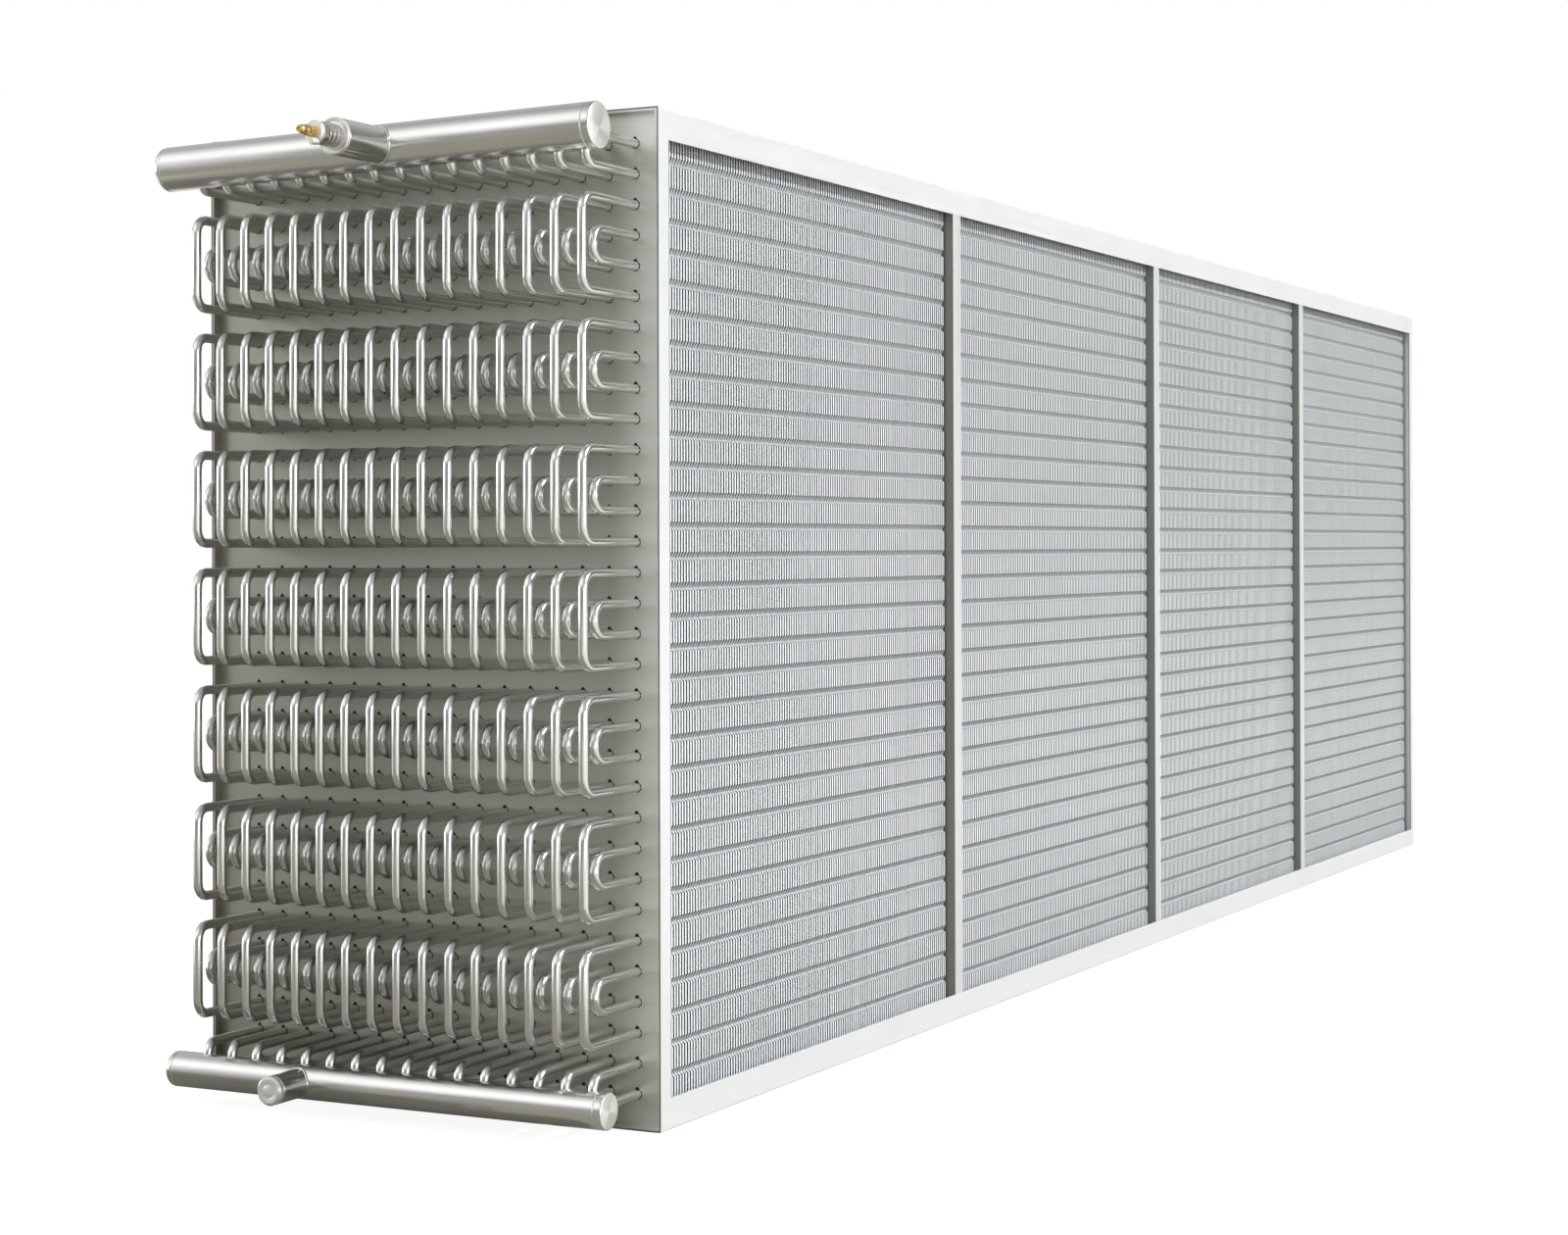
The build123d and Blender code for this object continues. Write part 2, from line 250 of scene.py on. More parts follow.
def paintShadeAlongAxis(material, axis, paintedShadeColour, levels):
    # paints shade by place: mixes in a darker colour; levels are (from, to, amount at the end) steps along an
    # axis
    nodes, links = material.node_tree.nodes, material.node_tree.links
    shader = nodes["Principled BSDF"]
    painted = shader.inputs["Base Color"].links[0].from_socket
    place = nodes.new("ShaderNodeTexCoord")
    split = nodes.new("ShaderNodeSeparateXYZ")
    links.new(place.outputs["Object"], split.inputs["Vector"])
    amount = None
    for start, end, share in levels:
        step = addMap(nodes, links, split.outputs[axis], start, end, 0.0, share)
        amount = step if amount is None else addMath(nodes, links, "ADD", amount, step)
    blend = nodes.new("ShaderNodeMix")
    blend.data_type = "RGBA"
    blend.inputs["B"].default_value = (*paintedShadeColour, 1)
    links.new(amount, blend.inputs["Factor"])
    links.new(painted, blend.inputs["A"])
    links.new(blend.outputs["Result"], shader.inputs["Base Color"])


# painted shade on the tube sheets: paler along their front edge, clear of the bends, and darkened behind
# them, where the bends shade them
paintShadeAlongAxis(finishes["tube_sheet"], "Y", (0.38, 0.375, 0.325), ((-0.43, -0.34, 0.72), (-0.3, 0.4, 0.28)))


def turnedFace(name, centre):
    # the face of a cap from the lathe: fine grooves round its centre as a bump, and a painted two-sided
    # sheen, a bow-tie highlight painted into its colour by the angle round the centre
    material, nodes, links, shader = startFinish(name)
    shader.inputs["Metallic"].default_value = 0.6
    shader.inputs["Roughness"].default_value = 0.3
    place = nodes.new("ShaderNodeTexCoord")
    shift = nodes.new("ShaderNodeMapping")
    shift.inputs["Location"].default_value = (-centre[0], 0, -centre[1])
    shift.inputs["Scale"].default_value = (1, 0, 1)
    links.new(place.outputs["Object"], shift.inputs["Vector"])
    distance = nodes.new("ShaderNodeVectorMath")
    distance.operation = "LENGTH"
    links.new(shift.outputs["Vector"], distance.inputs[0])
    groove = nodes.new("ShaderNodeTexNoise")
    groove.noise_dimensions = "1D"
    groove.inputs["Scale"].default_value = 900.0
    links.new(distance.outputs["Value"], groove.inputs["W"])
    relief = nodes.new("ShaderNodeBump")
    relief.inputs["Strength"].default_value = 0.45
    relief.inputs["Distance"].default_value = 0.0004
    links.new(groove.outputs["Fac"], relief.inputs["Height"])
    links.new(relief.outputs["Normal"], shader.inputs["Normal"])
    # painted highlight: the colour is lighter in two opposite sectors round the centre
    split = nodes.new("ShaderNodeSeparateXYZ")
    links.new(shift.outputs["Vector"], split.inputs["Vector"])
    angle = addMath(nodes, links, "ARCTAN2", split.outputs["Z"], split.outputs["X"])
    twice = nodes.new("ShaderNodeMath")
    twice.operation = "MULTIPLY_ADD"
    twice.inputs[1].default_value = 2.0
    twice.inputs[2].default_value = -0.6
    links.new(angle, twice.inputs[0])
    paintedSheen = addMap(nodes, links, addMath(nodes, links, "COSINE", twice.outputs[0]), -0.3, 1.0, 0.0, 1.0)
    blend = nodes.new("ShaderNodeMix")
    blend.data_type = "RGBA"
    blend.inputs["A"].default_value = (0.70, 0.71, 0.67, 1)
    blend.inputs["B"].default_value = (0.97, 0.98, 0.95, 1)
    links.new(paintedSheen, blend.inputs["Factor"])
    links.new(blend.outputs["Result"], shader.inputs["Base Color"])
    return material


def darkFinish(name, colour):
    material, nodes, links, shader = startFinish(name)
    place = nodes.new("ShaderNodeTexCoord")
    speck = nodes.new("ShaderNodeTexNoise")
    speck.inputs["Scale"].default_value = 300.0
    blend = nodes.new("ShaderNodeMix")
    blend.data_type = "RGBA"
    blend.inputs["A"].default_value = (*colour, 1)
    blend.inputs["B"].default_value = (colour[0] * 2, colour[1] * 2, colour[2] * 2, 1)
    links.new(place.outputs["Object"], speck.inputs["Vector"])
    links.new(speck.outputs["Fac"], blend.inputs["Factor"])
    links.new(blend.outputs["Result"], shader.inputs["Base Color"])
    shader.inputs["Roughness"].default_value = 0.8
    return material


# painted shadow: near-black, for the discs in the tube holes and round the tubes
holeShadow = darkFinish("holeShadow", (0.012, 0.012, 0.010))

slotOf = {part["node"]: part["material_slot"] for part in frame["record"]["subparts"]}
for nodeName, nodeObject in frame["nodes"].items():
    isSupport = nodeName.startswith("support_plate")
    nodeObject.data.materials.clear()
    nodeObject.data.materials.append(finishes["supports" if isSupport else slotOf[nodeName]])
print("coil scene: finishes made")


tubeField = {"rows": 32, "columns": 16, "pitch": 0.05, "tubeRadius": 0.008}
stubLow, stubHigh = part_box("liquid_straight_stubs")
sheetFace = stubHigh[0]
farFace = -sheetFace
lowRow = (stubLow[2] + stubHigh[2]) / 2
frontColumn = (stubLow[1] + stubHigh[1]) / 2 - (tubeField["columns"] - 1) / 2 * tubeField["pitch"]


def rowHeight(row):
    return lowRow + row * tubeField["pitch"]


finSettings = {
    "pitch": 0.01,
    "thickness": 0.0005,
    "lip": 0.0052,
    "bandLip": 0.0092,
    "creaseDepth": 0.005,
    "creaseLean": 0.002,
    "creaseLow": 0.0190,
    "creaseFloor": 0.0235,
    "creaseHigh": 0.0335,
    "wander": 0.0004,
    "seed": 7,
}


def creasedFin(low, high):
    # one fin as a thin channel: a web across the coil with a narrow lip at its front and back edges
    s = finSettings
    levels = [(low[2], 0, s["lip"], 0)]
    for row in range(tubeField["rows"] - 1):
        foot = rowHeight(row)
        levels.append((foot + s["creaseLow"], 0, s["lip"], 0))
        levels.append((foot + s["creaseFloor"], s["creaseDepth"], s["bandLip"], s["creaseLean"]))
        levels.append((foot + s["creaseHigh"], 0, s["lip"], 0))
    levels.append((high[2], 0, s["lip"], 0))
    verts = []
    for height, inset, lip, lean in levels:
        front, back = low[1] + inset, high[1] - inset
        t = s["thickness"]
        outline = [(lean, front), (lean, back), (lean - lip, back), (lean - lip, back - t),
                   (lean - t, back - t), (lean - t, front + t), (lean - lip, front + t), (lean - lip, front)]
        verts += [(x, y, height) for x, y in outline]
    faces = [tuple(range(8)), tuple(reversed(range(len(verts) - 8, len(verts))))]
    for level in range(len(levels) - 1):
        base = level * 8
        for corner in range(8):
            after = (corner + 1) % 8
            faces.append((base + corner, base + 8 + corner, base + 8 + after, base + after))
    mesh = meshFrom("creasedFin", verts, faces)
    work = bmesh.new()
    work.from_mesh(mesh)
    bmesh.ops.recalc_face_normals(work, faces=work.faces)
    work.to_mesh(mesh)
    work.free()
    return mesh


finTree, finIn, finOut = startTree("finRow", [
    ("Fin Count", "NodeSocketInt"), ("Fin Pitch", "NodeSocketFloat"), ("First Fin", "NodeSocketVector"),
    ("Wander", "NodeSocketFloat"), ("Seed", "NodeSocketInt"), ("Finish", "NodeSocketMaterial"),
])
nodes, links = finTree.nodes, finTree.links
step = nodes.new("ShaderNodeCombineXYZ")
line = nodes.new("GeometryNodeMeshLine")
links.new(finIn.outputs["Fin Pitch"], step.inputs["X"])
links.new(finIn.outputs["Fin Count"], line.inputs["Count"])
links.new(finIn.outputs["First Fin"], line.inputs["Start Location"])
links.new(step.outputs[0], line.inputs["Offset"])
chance = nodes.new("FunctionNodeRandomValue")
chance.data_type = "FLOAT"
back = nodes.new("ShaderNodeMath")
back.operation = "MULTIPLY"
back.inputs[1].default_value = -1
links.new(finIn.outputs["Wander"], back.inputs[0])
links.new(back.outputs[0], chance.inputs[2])
links.new(finIn.outputs["Wander"], chance.inputs[3])
links.new(finIn.outputs["Seed"], chance.inputs["Seed"])
shiftBy = nodes.new("ShaderNodeCombineXYZ")
links.new(chance.outputs[1], shiftBy.inputs["X"])
shift = nodes.new("GeometryNodeSetPosition")
links.new(line.outputs[0], shift.inputs["Geometry"])
links.new(shiftBy.outputs[0], shift.inputs["Offset"])
stand = nodes.new("GeometryNodeInstanceOnPoints")
links.new(shift.outputs[0], stand.inputs["Points"])
links.new(finIn.outputs["Geometry"], stand.inputs["Instance"])
real = nodes.new("GeometryNodeRealizeInstances")
links.new(stand.outputs[0], real.inputs[0])
paint = nodes.new("GeometryNodeSetMaterial")
links.new(real.outputs[0], paint.inputs["Geometry"])
links.new(finIn.outputs["Finish"], paint.inputs["Material"])
links.new(paint.outputs[0], finOut.inputs[0])

for bay in range(1, 5):
    low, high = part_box(f"fin_pack_{bay}")
    count = int((high[0] - low[0]) / finSettings["pitch"])
    firstFin = (low[0] + high[0]) / 2 - (count - 1) / 2 * finSettings["pitch"] + finSettings["lip"] / 2
    pack = newObject(f"finPack{bay}", creasedFin(low, high))
    runTree(pack, finTree, {
        "Fin Count": count, "Fin Pitch": finSettings["pitch"], "First Fin": (firstFin, 0, 0),
        "Wander": finSettings["wander"], "Seed": finSettings["seed"] + bay, "Finish": finishes["fins"],
    })
    finishPiece(pack, [f"fin_pack_{bay}"])
print("coil scene: fins stand in their bays")


tubeTree, tubeIn, tubeOut = startTree("bentTubes", [
    ("Tube Radius", "NodeSocketFloat"), ("Tube Sides", "NodeSocketInt"), ("Corner Radius", "NodeSocketFloat"),
    ("Corner Steps", "NodeSocketInt"), ("Columns", "NodeSocketInt"), ("Column Pitch", "NodeSocketFloat"),
    ("Banks", "NodeSocketInt"), ("Bank Pitch", "NodeSocketFloat"), ("Finish", "NodeSocketMaterial"),
])
nodes, links = tubeTree.nodes, tubeTree.links
route = nodes.new("GeometryNodeMeshToCurve")
rounded = nodes.new("GeometryNodeFilletCurve")
rounded.mode = "POLY"
rounded.inputs["Limit Radius"].default_value = True
section = nodes.new("GeometryNodeCurvePrimitiveCircle")
skin = nodes.new("GeometryNodeCurveToMesh")
skin.inputs["Fill Caps"].default_value = True
smooth = nodes.new("GeometryNodeSetShadeSmooth")
links.new(tubeIn.outputs["Geometry"], route.inputs["Mesh"])
links.new(route.outputs[0], rounded.inputs["Curve"])
links.new(tubeIn.outputs["Corner Steps"], rounded.inputs["Count"])
links.new(tubeIn.outputs["Corner Radius"], rounded.inputs["Radius"])
links.new(tubeIn.outputs["Tube Sides"], section.inputs["Resolution"])
links.new(tubeIn.outputs["Tube Radius"], section.inputs["Radius"])
links.new(rounded.outputs[0], skin.inputs["Curve"])
links.new(section.outputs[0], skin.inputs["Profile Curve"])
links.new(skin.outputs[0], smooth.inputs["Geometry"])
columnStep = nodes.new("ShaderNodeCombineXYZ")
columnLine = nodes.new("GeometryNodeMeshLine")
bankStep = nodes.new("ShaderNodeCombineXYZ")
bankLine = nodes.new("GeometryNodeMeshLine")
inColumns = nodes.new("GeometryNodeInstanceOnPoints")
inBanks = nodes.new("GeometryNodeInstanceOnPoints")
links.new(tubeIn.outputs["Column Pitch"], columnStep.inputs["Y"])
links.new(columnStep.outputs[0], columnLine.inputs["Offset"])
links.new(tubeIn.outputs["Columns"], columnLine.inputs["Count"])
links.new(tubeIn.outputs["Bank Pitch"], bankStep.inputs["Z"])
links.new(bankStep.outputs[0], bankLine.inputs["Offset"])
links.new(tubeIn.outputs["Banks"], bankLine.inputs["Count"])
links.new(columnLine.outputs[0], inColumns.inputs["Points"])
links.new(smooth.outputs[0], inColumns.inputs["Instance"])
links.new(bankLine.outputs[0], inBanks.inputs["Points"])
links.new(inColumns.outputs[0], inBanks.inputs["Instance"])
real = nodes.new("GeometryNodeRealizeInstances")
paint = nodes.new("GeometryNodeSetMaterial")
links.new(inBanks.outputs[0], real.inputs[0])
links.new(real.outputs[0], paint.inputs["Geometry"])
links.new(tubeIn.outputs["Finish"], paint.inputs["Material"])
links.new(paint.outputs[0], tubeOut.inputs[0])

bendSettings = {
    "outerReach": 0.178,
    "innerReach": 0.144,
    "cornerRadius": 0.024,
    "cornerSteps": 4,
    "innerCornerSteps": 6,
    "farInnerSteps": 5,
    "sides": 12,
    "farSides": 10,
    "longTubeSides": 8,
}


def tubePiece(name, route, banks=1, bankPitch=0.2, sides=None, corner=None, steps=None, nodeNames=()):
    # route is a list of (x, z) points of the tube in the front column of the lowest bank
    verts = [(x, frontColumn, z) for x, z in route]
    edges = [(point, point + 1) for point in range(len(verts) - 1)]
    piece = newObject(name, meshFrom(name, verts, edges=edges))
    runTree(piece, tubeTree, {
        "Tube Radius": tubeField["tubeRadius"],
        "Tube Sides": sides or bendSettings["sides"],
        "Corner Radius": corner or bendSettings["cornerRadius"],
        "Corner Steps": steps or bendSettings["cornerSteps"],
        "Columns": tubeField["columns"],
        "Column Pitch": tubeField["pitch"],
        "Banks": banks,
        "Bank Pitch": bankPitch,
        "Finish": finishes["tubes"],
    })
    finishPiece(piece, nodeNames)
    return piece


def bendRoute(face, reach, lowRow, highRow):
    return [(face, rowHeight(lowRow)), (face + reach, rowHeight(lowRow)),
            (face + reach, rowHeight(highRow)), (face, rowHeight(highRow))]


outerReach, innerReach = bendSettings["outerReach"], bendSettings["innerReach"]
innerCorner = tubeField["pitch"] / 2 * 0.999
farSides = bendSettings["farSides"]
sevenBanks = range(1, 8)
tubePiece("outerBends", bendRoute(sheetFace, -outerReach, 2, 5), 7,
          nodeNames=[f"outer_bends_{bank}" for bank in sevenBanks])
tubePiece("innerBends", bendRoute(sheetFace, -innerReach, 3, 4), 7,
          corner=innerCorner, steps=bendSettings["innerCornerSteps"],
          nodeNames=[f"inner_bends_{bank}" for bank in sevenBanks])
tubePiece("farOuterBends", bendRoute(farFace, outerReach, 0, 3), 8,
          sides=farSides, nodeNames=["far_outer_bends"])
tubePiece("farInnerBends", bendRoute(farFace, innerReach, 1, 2), 8,
          sides=farSides, corner=innerCorner, steps=bendSettings["farInnerSteps"],
          nodeNames=["far_inner_bends"])
tubePiece("longTubes", [(sheetFace, rowHeight(0)), (farFace, rowHeight(0))],
          tubeField["rows"], tubeField["pitch"], sides=bendSettings["longTubeSides"])

suctionLow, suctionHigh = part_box("suction_header")
liquidLow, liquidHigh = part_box("liquid_header")
suctionX, suctionZ = (suctionLow[0] + suctionHigh[0]) / 2, (suctionLow[2] + suctionHigh[2]) / 2
liquidX, liquidZ = (liquidLow[0] + liquidHigh[0]) / 2, (liquidLow[2] + liquidHigh[2]) / 2
stubSettings = {"elbowRadius": 0.02, "elbowSteps": 5, "intoHeader": 0.006}
topRow = tubeField["rows"] - 1
suctionRadius = (suctionHigh[2] - suctionLow[2]) / 2
liquidRadius = (liquidHigh[2] - liquidLow[2]) / 2
tuck = stubSettings["intoHeader"]
elbow = {"corner": stubSettings["elbowRadius"], "steps": stubSettings["elbowSteps"]}
highRow, secondRow = rowHeight(topRow), rowHeight(topRow - 1)
tubePiece("suctionStraightStubs", [(sheetFace, highRow), (suctionX + suctionRadius - tuck, highRow)],
          nodeNames=["suction_straight_stubs"])
tubePiece("liquidStraightStubs", [(sheetFace, rowHeight(0)), (liquidX + liquidRadius - tuck, rowHeight(0))],
          nodeNames=["liquid_straight_stubs"])
suctionRoute = [(sheetFace, secondRow), (suctionX, secondRow), (suctionX, suctionZ - suctionRadius + tuck)]
tubePiece("suctionElbowStubs", suctionRoute, nodeNames=["suction_elbow_stubs"], **elbow)
liquidRoute = [(sheetFace, rowHeight(1)), (liquidX, rowHeight(1)), (liquidX, liquidZ + liquidRadius - tuck)]
tubePiece("liquidElbowStubs", liquidRoute, nodeNames=["liquid_elbow_stubs"], **elbow)
print("coil scene: tubes bent")


# the suction header falls a little towards the back, so that oil runs out of it
suctionFall = {"angle": 1.3, "pivotY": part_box("suction_header_caps")[0][1] + 0.2}


def tiltSuction(*pieces):
    pivot = Vector((0, suctionFall["pivotY"], suctionZ))
    turn = Matrix.Rotation(-math.radians(suctionFall["angle"]), 4, "X")
    for piece in pieces:
        piece.data.transform(Matrix.Translation(pivot) @ turn @ Matrix.Translation(-pivot))


capSettings = {"bevel": 0.0022, "seam": 0.0009}
pipeSettings = {
    "wall": 0.003,
    "edge": 0.0006,
    "sides": 72,
    "branchEdge": 0.0008,
    "branchRoot": 0.02,
    "branchSides": 64,
}


def headerPieces(label, nodeHeader, nodeCaps):
    pipeLow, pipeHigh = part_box(nodeHeader)
    capsLow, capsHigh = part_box(nodeCaps)
    radius = (pipeHigh[2] - pipeLow[2]) / 2
    x, z = (pipeLow[0] + pipeHigh[0]) / 2, (pipeLow[2] + pipeHigh[2]) / 2
    pipeLength = pipeHigh[1] - pipeLow[1]
    edge, bore, sides = pipeSettings["edge"], radius - pipeSettings["wall"], pipeSettings["sides"]
    outline = [(0, bore), (0, radius - edge), (edge, radius), (pipeLength - edge, radius),
               (pipeLength, radius - edge), (pipeLength, bore), (0, bore)]
    pipe = lathe(label + "Pipe", outline, (x, pipeLow[1], z), (0, 1, 0), sides)
    pipe.data.materials.append(finishes["header_pipe"])
    finishPiece(pipe, [nodeHeader])

    capLength = pipeLow[1] - capsLow[1]
    s = capSettings
    bevel, seam = s["bevel"], s["seam"]
    disc = [(0, 0), (0, radius - bevel), (bevel * 0.4, radius - bevel * 0.4), (bevel, radius),
            (capLength - seam, radius), (capLength, radius - seam), (capLength, 0)]
    frontCap = lathe(label + "FrontCap", disc, (x, capsLow[1], z), (0, 1, 0), sides)
    dome = [(0, 0), (0, radius * 0.55), (0.0008, radius * 0.72), (0.003, radius * 0.88),
            (0.0065, radius * 0.97), (0.0105, radius), (capLength - edge, radius),
            (capLength, radius - edge), (capLength, 0)]
    backCap = lathe(label + "BackCap", dome, (x, capsHigh[1], z), (0, -1, 0), sides, 50)
    if label == "suctionHeader":
        tiltSuction(pipe, frontCap, backCap)
    face = turnedFace(label + "Face", (x, z))
    for cap in (frontCap, backCap):
        cap.data.materials.append(finishes["header_pipe"])
        cap.data.materials.append(face)
        for polygon in cap.data.polygons:
            polygon.material_index = int(abs(polygon.normal.y) > 0.6)
        finishPiece(cap, [nodeCaps] if cap is frontCap else [])
    return x, z, radius


def saddleWeld(name, x, y, z, headerRadius, branchRadius, bead):
    # a bead along the line where a branch meets its header
    count = 64
    verts = []
    for point in range(count):
        angle = 2 * math.pi * point / count
        rise = branchRadius * math.sin(angle)
        verts.append((x - math.sqrt(headerRadius ** 2 - min(rise ** 2, headerRadius ** 2)),
                      y + branchRadius * math.cos(angle), z + rise))
    edges = [(point, (point + 1) % count) for point in range(count)]
    weld = newObject(name, meshFrom(name, verts, edges=edges))
    values = {
        "Tube Radius": bead, "Tube Sides": 8, "Corner Radius": 0.0, "Corner Steps": 1, "Columns": 1,
        "Column Pitch": 0.01, "Banks": 1, "Bank Pitch": 0.01, "Finish": finishes["header_pipe"],
    }
    runTree(weld, tubeTree, values)
    if name == "suctionWeld":
        tiltSuction(weld)
    finishPiece(weld)


suctionX, suctionZ, suctionRadius = headerPieces("suctionHeader", "suction_header", "suction_header_caps")
liquidX, liquidZ, liquidRadius = headerPieces("liquidHeader", "liquid_header", "liquid_header_caps")


def branchPiece(name, nodeName, headerX, headerZ, radius):
    low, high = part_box(nodeName)
    y = (low[1] + high[1]) / 2
    reach = headerX - low[0]
    s = pipeSettings
    root, edge, bore = s["branchRoot"], s["branchEdge"], radius - s["wall"]
    outline = [(root, bore), (root, radius), (reach - edge, radius), (reach, radius - edge), (reach, bore),
               (root, bore)]
    branch = lathe(name, outline, (headerX, y, headerZ), (-1, 0, 0), s["branchSides"])
    branch.data.materials.append(finishes["header_pipe"])
    if nodeName == "suction_branch":
        tiltSuction(branch)
    finishPiece(branch, [nodeName])
    return y


branchSettings = {"suctionRadius": 0.03015, "liquidRadius": 0.02415, "bead": 0.0022}
plateR, capR, bead = branchSettings["suctionRadius"], branchSettings["liquidRadius"], branchSettings["bead"]
suctionY = branchPiece("suctionBranch", "suction_branch", suctionX, suctionZ, plateR)
liquidY = branchPiece("liquidBranch", "liquid_branch", liquidX, liquidZ, capR)
saddleWeld("suctionWeld", suctionX, suctionY, suctionZ, suctionRadius, plateR, bead)
saddleWeld("liquidWeld", liquidX, liquidY, liquidZ, liquidRadius, capR, bead)


def turnedEnd(name, nodeName, slotName, profile, sides=48):
    # a turned piece in place of a CAD node; profile runs from its inner face outwards, away from the coil
    low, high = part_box(nodeName)
    origin = (high[0], (low[1] + high[1]) / 2, (low[2] + high[2]) / 2)
    piece = lathe(name, profile, origin, (-1, 0, 0), sides)
    piece.data.materials.append(finishes[slotName])
    if origin[2] > liquidZ + suctionRadius:
        tiltSuction(piece)
    finishPiece(piece, [nodeName])


turnedEnd("suctionBranchPlate", "suction_branch_plate", "turned_caps",
          [(0, 0), (0, plateR - 0.0008), (0.0008, plateR), (0.0045, plateR), (0.006, plateR - 0.0015),
           (0.006, 0.024), (0.0056, 0.0232), (0.006, 0.0224), (0.006, 0)])
turnedEnd("liquidBranchCap", "liquid_branch_cap", "turned_caps",
          [(0, 0), (0, capR - 0.0008), (0.0008, capR), (0.009, capR), (0.013, capR - 0.004), (0.013, 0.012),
           (0.0127, 0.0112), (0.013, 0.0104), (0.013, 0)])
turnedEnd("valveSocket", "valve_socket", "valve_steel",
          [(0, 0), (0, 0.018), (0.001, 0.019), (0.010, 0.019), (0.011, 0.0182), (0.012, 0.019),
           (0.021, 0.019), (0.022, 0.0182), (0.023, 0.019), (0.032, 0.019), (0.033, 0.018), (0.033, 0)])
turnedEnd("valveNut", "valve_nut", "valve_steel",
          [(0, 0), (0, 0.0165), (0.0012, 0.0184), (0.0138, 0.0184), (0.015, 0.0165), (0.015, 0)], sides=6)
turnedEnd("valveCollar", "valve_collar", "pale_collar",
          [(0, 0), (0, 0.0175), (0.0007, 0.0185), (0.0050, 0.0185), (0.008, 0.0155), (0.008, 0)])
turnedEnd("valveCore", "valve_core", "brass",
          [(0, 0), (0, 0.0095), (0.010, 0.0095), (0.011, 0.0076), (0.013, 0.0076), (0.014, 0.0088),
           (0.022, 0.0088), (0.0235, 0.0074), (0.033, 0.0070), (0.0345, 0.0058), (0.039, 0.0054),
           (0.039, 0.003), (0.036, 0.003), (0.036, 0)])


def capTab(name, drop):
    # the little tab under the valve's collar
    low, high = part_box("valve_collar")
    spot = (high[0] - 0.003, (low[1] + high[1]) / 2 - 0.004, (low[2] + high[2]) / 2 - drop)
    outline = [(0, 0), (0, 0.005), (0.014, 0.006), (0.017, 0.005), (0.017, 0)]
    tab = lathe(name, outline, spot, (-1, 0, 0), 16)
    tab.data.materials.append(finishes["pale_collar"])
    tiltSuction(tab)
    finishPiece(tab)


capTab("valveTab", 0.0165)
print("coil scene: headers turned")


holeSettings = {
    "notchRadius": 0.0036,
    "notchRise": 0.0084,
    "shadowRingRadius": 0.0091,
    "thickness": 0.0004,
    "shadowRingShare": 0.6,
}


def paintTubeHoleShadows(name, face, way, withShadowRing):
    # near-black discs of painted shade: one for the shadow inside a small relief hole above each tube, where
    # the tube sheet is punched, and a painted shadow ring round each tube
    s = holeSettings
    shapes = [(s["notchRise"], s["notchRadius"], 6, s["thickness"])]
    if withShadowRing:
        shapes.append((0, s["shadowRingRadius"], 8, s["thickness"] * s["shadowRingShare"]))
    work = bmesh.new()
    for row in range(tubeField["rows"]):
        for column in range(tubeField["columns"]):
            for rise, radius, corners, thickness in shapes:
                centre = Vector((face, frontColumn + column * tubeField["pitch"], rowHeight(row) + rise))
                rings = []
                for depth in (0, way * thickness):
                    ring = []
                    for corner in range(corners):
                        angle = 2 * math.pi * (corner + 0.5) / corners
                        spot = Vector((depth, radius * math.cos(angle), radius * math.sin(angle)))
                        ring.append(work.verts.new(centre + spot))
                    rings.append(ring)
                work.faces.new(rings[0])
                work.faces.new(rings[1])
                for corner in range(corners):
                    after = (corner + 1) % corners
                    work.faces.new((rings[0][corner], rings[0][after], rings[1][after], rings[1][corner]))
    bmesh.ops.recalc_face_normals(work, faces=work.faces)
    mesh = bpy.data.meshes.new(name)
    work.to_mesh(mesh)
    work.free()
    mesh.materials.append(holeShadow)
    finishPiece(newObject(name, mesh))


paintTubeHoleShadows("nearTubeHoleShadows", sheetFace, -1, True)
paintTubeHoleShadows("farTubeHoleShadows", farFace, 1, False)
print("coil scene: tube sheets punched")


stageSettings = {
    "floorReach": 40,
    "floorDrop": 0.0005,
    "floorColour": (0.26, 0.25, 0.205),
    "floorGlow": 0.9,
    "nearFloorInMetal": 0.03,
    "farFloorInMetal": 0.7,
    "wallGlow": 0.2,
    "frontWallGlow": 0.04,
    "roofGlow": 1.25,
    "frontRoofShare": 0.42,
    "farRoofShare": 0.25,
    "zenithShare": 0.35,
    "openingGlow": 3.3,
    "backdropInMetal": 0.12,
    "sunPower": 3.45,
    "sunAngle": 4,
    "sunTowards": (0.3, -1.0, 0.72),
}

# where each light or shade starts and is full: metres on the floor, a direction's share in the hall
maskSpans = {
    "floorFront": (-1.0, -1.6),
    "floorBehind": (1.8, 2.3),
    "floorFinSide": (-4.6, -4.2),
    "frontWall": (0.1, -0.45),
    "roof": (0.12, 0.5),
    "farRoof": (-0.5, 0.3),
    "zenith": (0.65, 0.95),
    "frontRoof": (0.1, -0.4),
    "openingLevel": (0.3, 0.15),
    "openingLeft": (-0.8, -0.66),
    "openingRight": (0.5, 0.3),
}


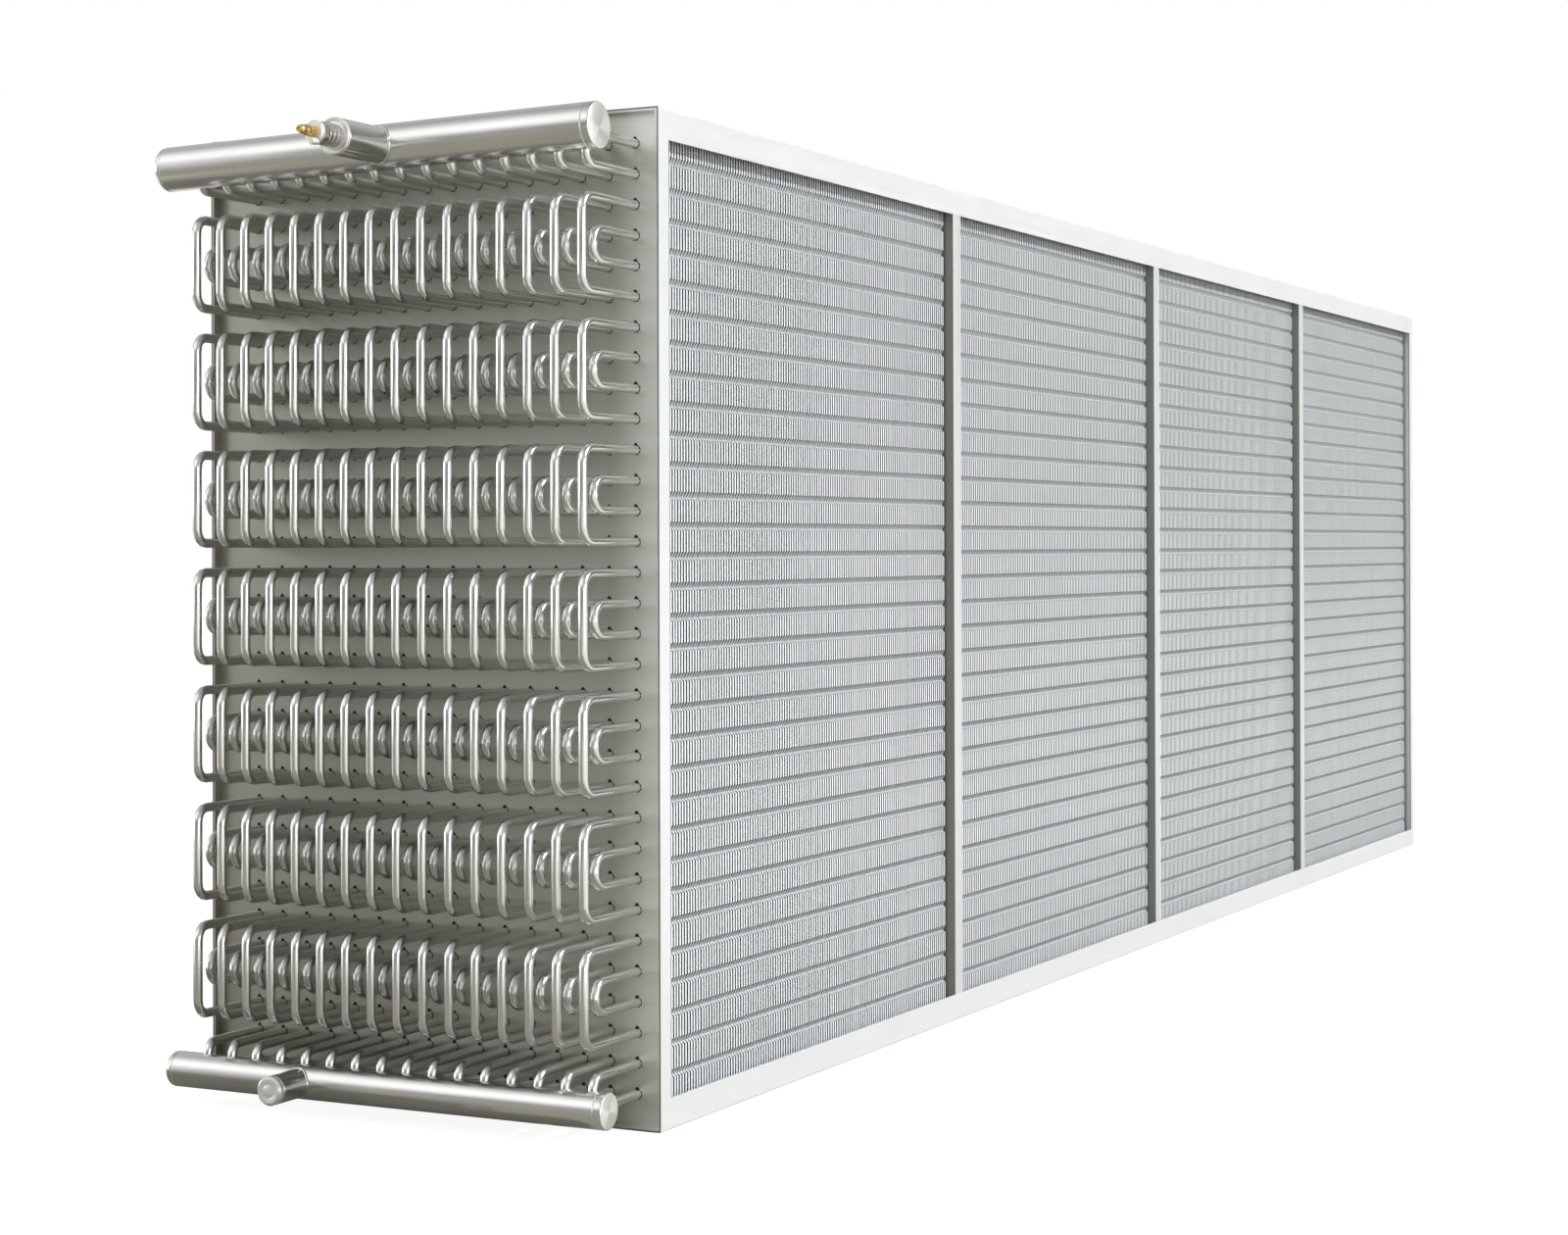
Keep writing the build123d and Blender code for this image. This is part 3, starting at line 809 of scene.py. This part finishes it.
def buildStage():
    r = stageSettings["floorReach"]
    corners = [(-r, -r, 0), (r, -r, 0), (r, r, 0), (-r, r, 0)]
    floor = newObject("floor", meshFrom("floor", corners, [(0, 1, 2, 3)]))
    floor.location.z = -stageSettings["floorDrop"]
    material, nodes, links, shader = startFinish("paleFloor")
    shader.inputs["Base Color"].default_value = (*stageSettings["floorColour"], 1)
    shader.inputs["Roughness"].default_value = 0.9
    # the floor is white to the eye; metal sees it pale at a distance and darker round the coil
    path = nodes.new("ShaderNodeLightPath")
    place = nodes.new("ShaderNodeTexCoord")
    split = nodes.new("ShaderNodeSeparateXYZ")
    links.new(place.outputs["Object"], split.inputs["Vector"])
    x, y = split.outputs[0], split.outputs[1]
    glow, spans = stageSettings, maskSpans
    near, far = glow["nearFloorInMetal"], glow["farFloorInMetal"]
    inFront = addMap(nodes, links, y, *spans["floorFront"], near, far)
    behind = addMap(nodes, links, y, *spans["floorBehind"], near, far)
    finSide = addMap(nodes, links, x, *spans["floorFinSide"], 0.0, 1.0)
    behind = addMath(nodes, links, "MULTIPLY", behind, finSide)
    inMetal = addMath(nodes, links, "MAXIMUM", inFront, behind)
    inMetal = addMath(nodes, links, "MULTIPLY", inMetal, path.outputs["Is Glossy Ray"])
    seen = addMap(nodes, links, path.outputs["Is Camera Ray"], 0.0, 1.0, 0.0, glow["floorGlow"])
    shader.inputs["Emission Color"].default_value = (1, 1, 1, 1)
    links.new(addMath(nodes, links, "MAXIMUM", seen, inMetal), shader.inputs["Emission Strength"])
    floor.data.materials.append(material)

    world = bpy.data.worlds.new("studio")
    bpy.context.scene.world = world
    world.use_nodes = True
    nodes, links = world.node_tree.nodes, world.node_tree.links
    background = nodes["Background"]
    # a hall with bright roof lights, darker on the fins' side, and pale openings at eye level
    place = nodes.new("ShaderNodeTexCoord")
    split = nodes.new("ShaderNodeSeparateXYZ")
    links.new(place.outputs["Generated"], split.inputs["Vector"])
    x, y, z = split.outputs
    glow, spans = stageSettings, maskSpans
    wall = addMap(nodes, links, y, *spans["frontWall"], glow["wallGlow"], glow["frontWallGlow"])
    roof = addMap(nodes, links, z, *spans["roof"], 0.0, glow["roofGlow"])
    roofSide = addMap(nodes, links, x, *spans["farRoof"], 1.0, glow["farRoofShare"])
    roof = addMath(nodes, links, "MULTIPLY", roof, roofSide)
    overhead = addMap(nodes, links, z, *spans["zenith"], 1.0, glow["zenithShare"])
    roof = addMath(nodes, links, "MULTIPLY", roof, overhead)
    roofShare = addMap(nodes, links, y, *spans["frontRoof"], 1.0, glow["frontRoofShare"])
    upright = addMath(nodes, links, "ABSOLUTE", z)
    level = addMap(nodes, links, upright, *spans["openingLevel"], 0.0, glow["openingGlow"])
    left = addMap(nodes, links, x, *spans["openingLeft"], 0.0, 1.0)
    right = addMap(nodes, links, x, *spans["openingRight"], 0.0, 1.0)
    opening = addMath(nodes, links, "MULTIPLY", addMath(nodes, links, "MULTIPLY", level, left), right)
    total = addMath(nodes, links, "ADD", addMath(nodes, links, "MULTIPLY", roof, roofShare), opening)
    total = addMath(nodes, links, "ADD", total, wall)
    path = nodes.new("ShaderNodeLightPath")
    eye, glass = path.outputs["Is Camera Ray"], path.outputs["Is Transmission Ray"]
    seen = addMath(nodes, links, "MAXIMUM", eye, glass)
    # metal shows the white backdrop too, thinly, over the hall's own light and dark
    inMetal = addMap(nodes, links, path.outputs["Is Glossy Ray"], 0.0, 1.0, 0.0, glow["backdropInMetal"])
    seen = addMath(nodes, links, "MAXIMUM", seen, inMetal)
    strength = nodes.new("ShaderNodeMix")
    links.new(seen, strength.inputs["Factor"])
    links.new(total, strength.inputs["A"])
    strength.inputs["B"].default_value = 1.0
    background.inputs["Color"].default_value = (1, 1, 1, 1)
    links.new(strength.outputs["Result"], background.inputs["Strength"])


def addSun(name, towards):
    sun = bpy.data.lights.new(name, "SUN")
    sun.energy = stageSettings["sunPower"]
    sun.angle = math.radians(stageSettings["sunAngle"])
    holder = bpy.data.objects.new(name, sun)
    holder.rotation_euler = Vector(towards).to_track_quat("Z", "Y").to_euler()
    bpy.context.collection.objects.link(holder)


cameraSettings = {
    "spot": (-6.747, -2.653, 0.951), "yaw": 28.005, "pitch": 0.212, "roll": -0.154,
    "lens": 67.28, "shiftX": 0.0875, "shiftY": -0.0531, "sensor": 36, "clip": 200,
}


def buildCamera():
    s = cameraSettings
    camera = bpy.data.cameras.new("camera")
    camera.sensor_fit = "HORIZONTAL"
    camera.sensor_width = s["sensor"]
    camera.lens = s["lens"]
    camera.shift_x = s["shiftX"]
    camera.shift_y = s["shiftY"]
    camera.clip_end = s["clip"]
    holder = bpy.data.objects.new("camera", camera)
    yaw, pitch, roll = (math.radians(s[name]) for name in ("yaw", "pitch", "roll"))
    ahead = Vector((math.cos(pitch) * math.cos(yaw), math.cos(pitch) * math.sin(yaw), math.sin(pitch)))
    right = ahead.cross(Vector((0, 0, 1))).normalized()
    up = right.cross(ahead)
    turnedRight = math.cos(roll) * right + math.sin(roll) * up
    turnedUp = -math.sin(roll) * right + math.cos(roll) * up
    grid = Matrix((turnedRight, turnedUp, -ahead)).transposed().to_4x4()
    holder.matrix_world = Matrix.Translation(Vector(s["spot"])) @ grid
    bpy.context.collection.objects.link(holder)
    bpy.context.scene.camera = holder


buildStage()
addSun("windowSun", stageSettings["sunTowards"])
buildCamera()
bpy.context.scene.view_settings.view_transform = "Standard"
print("coil scene: stage lit")
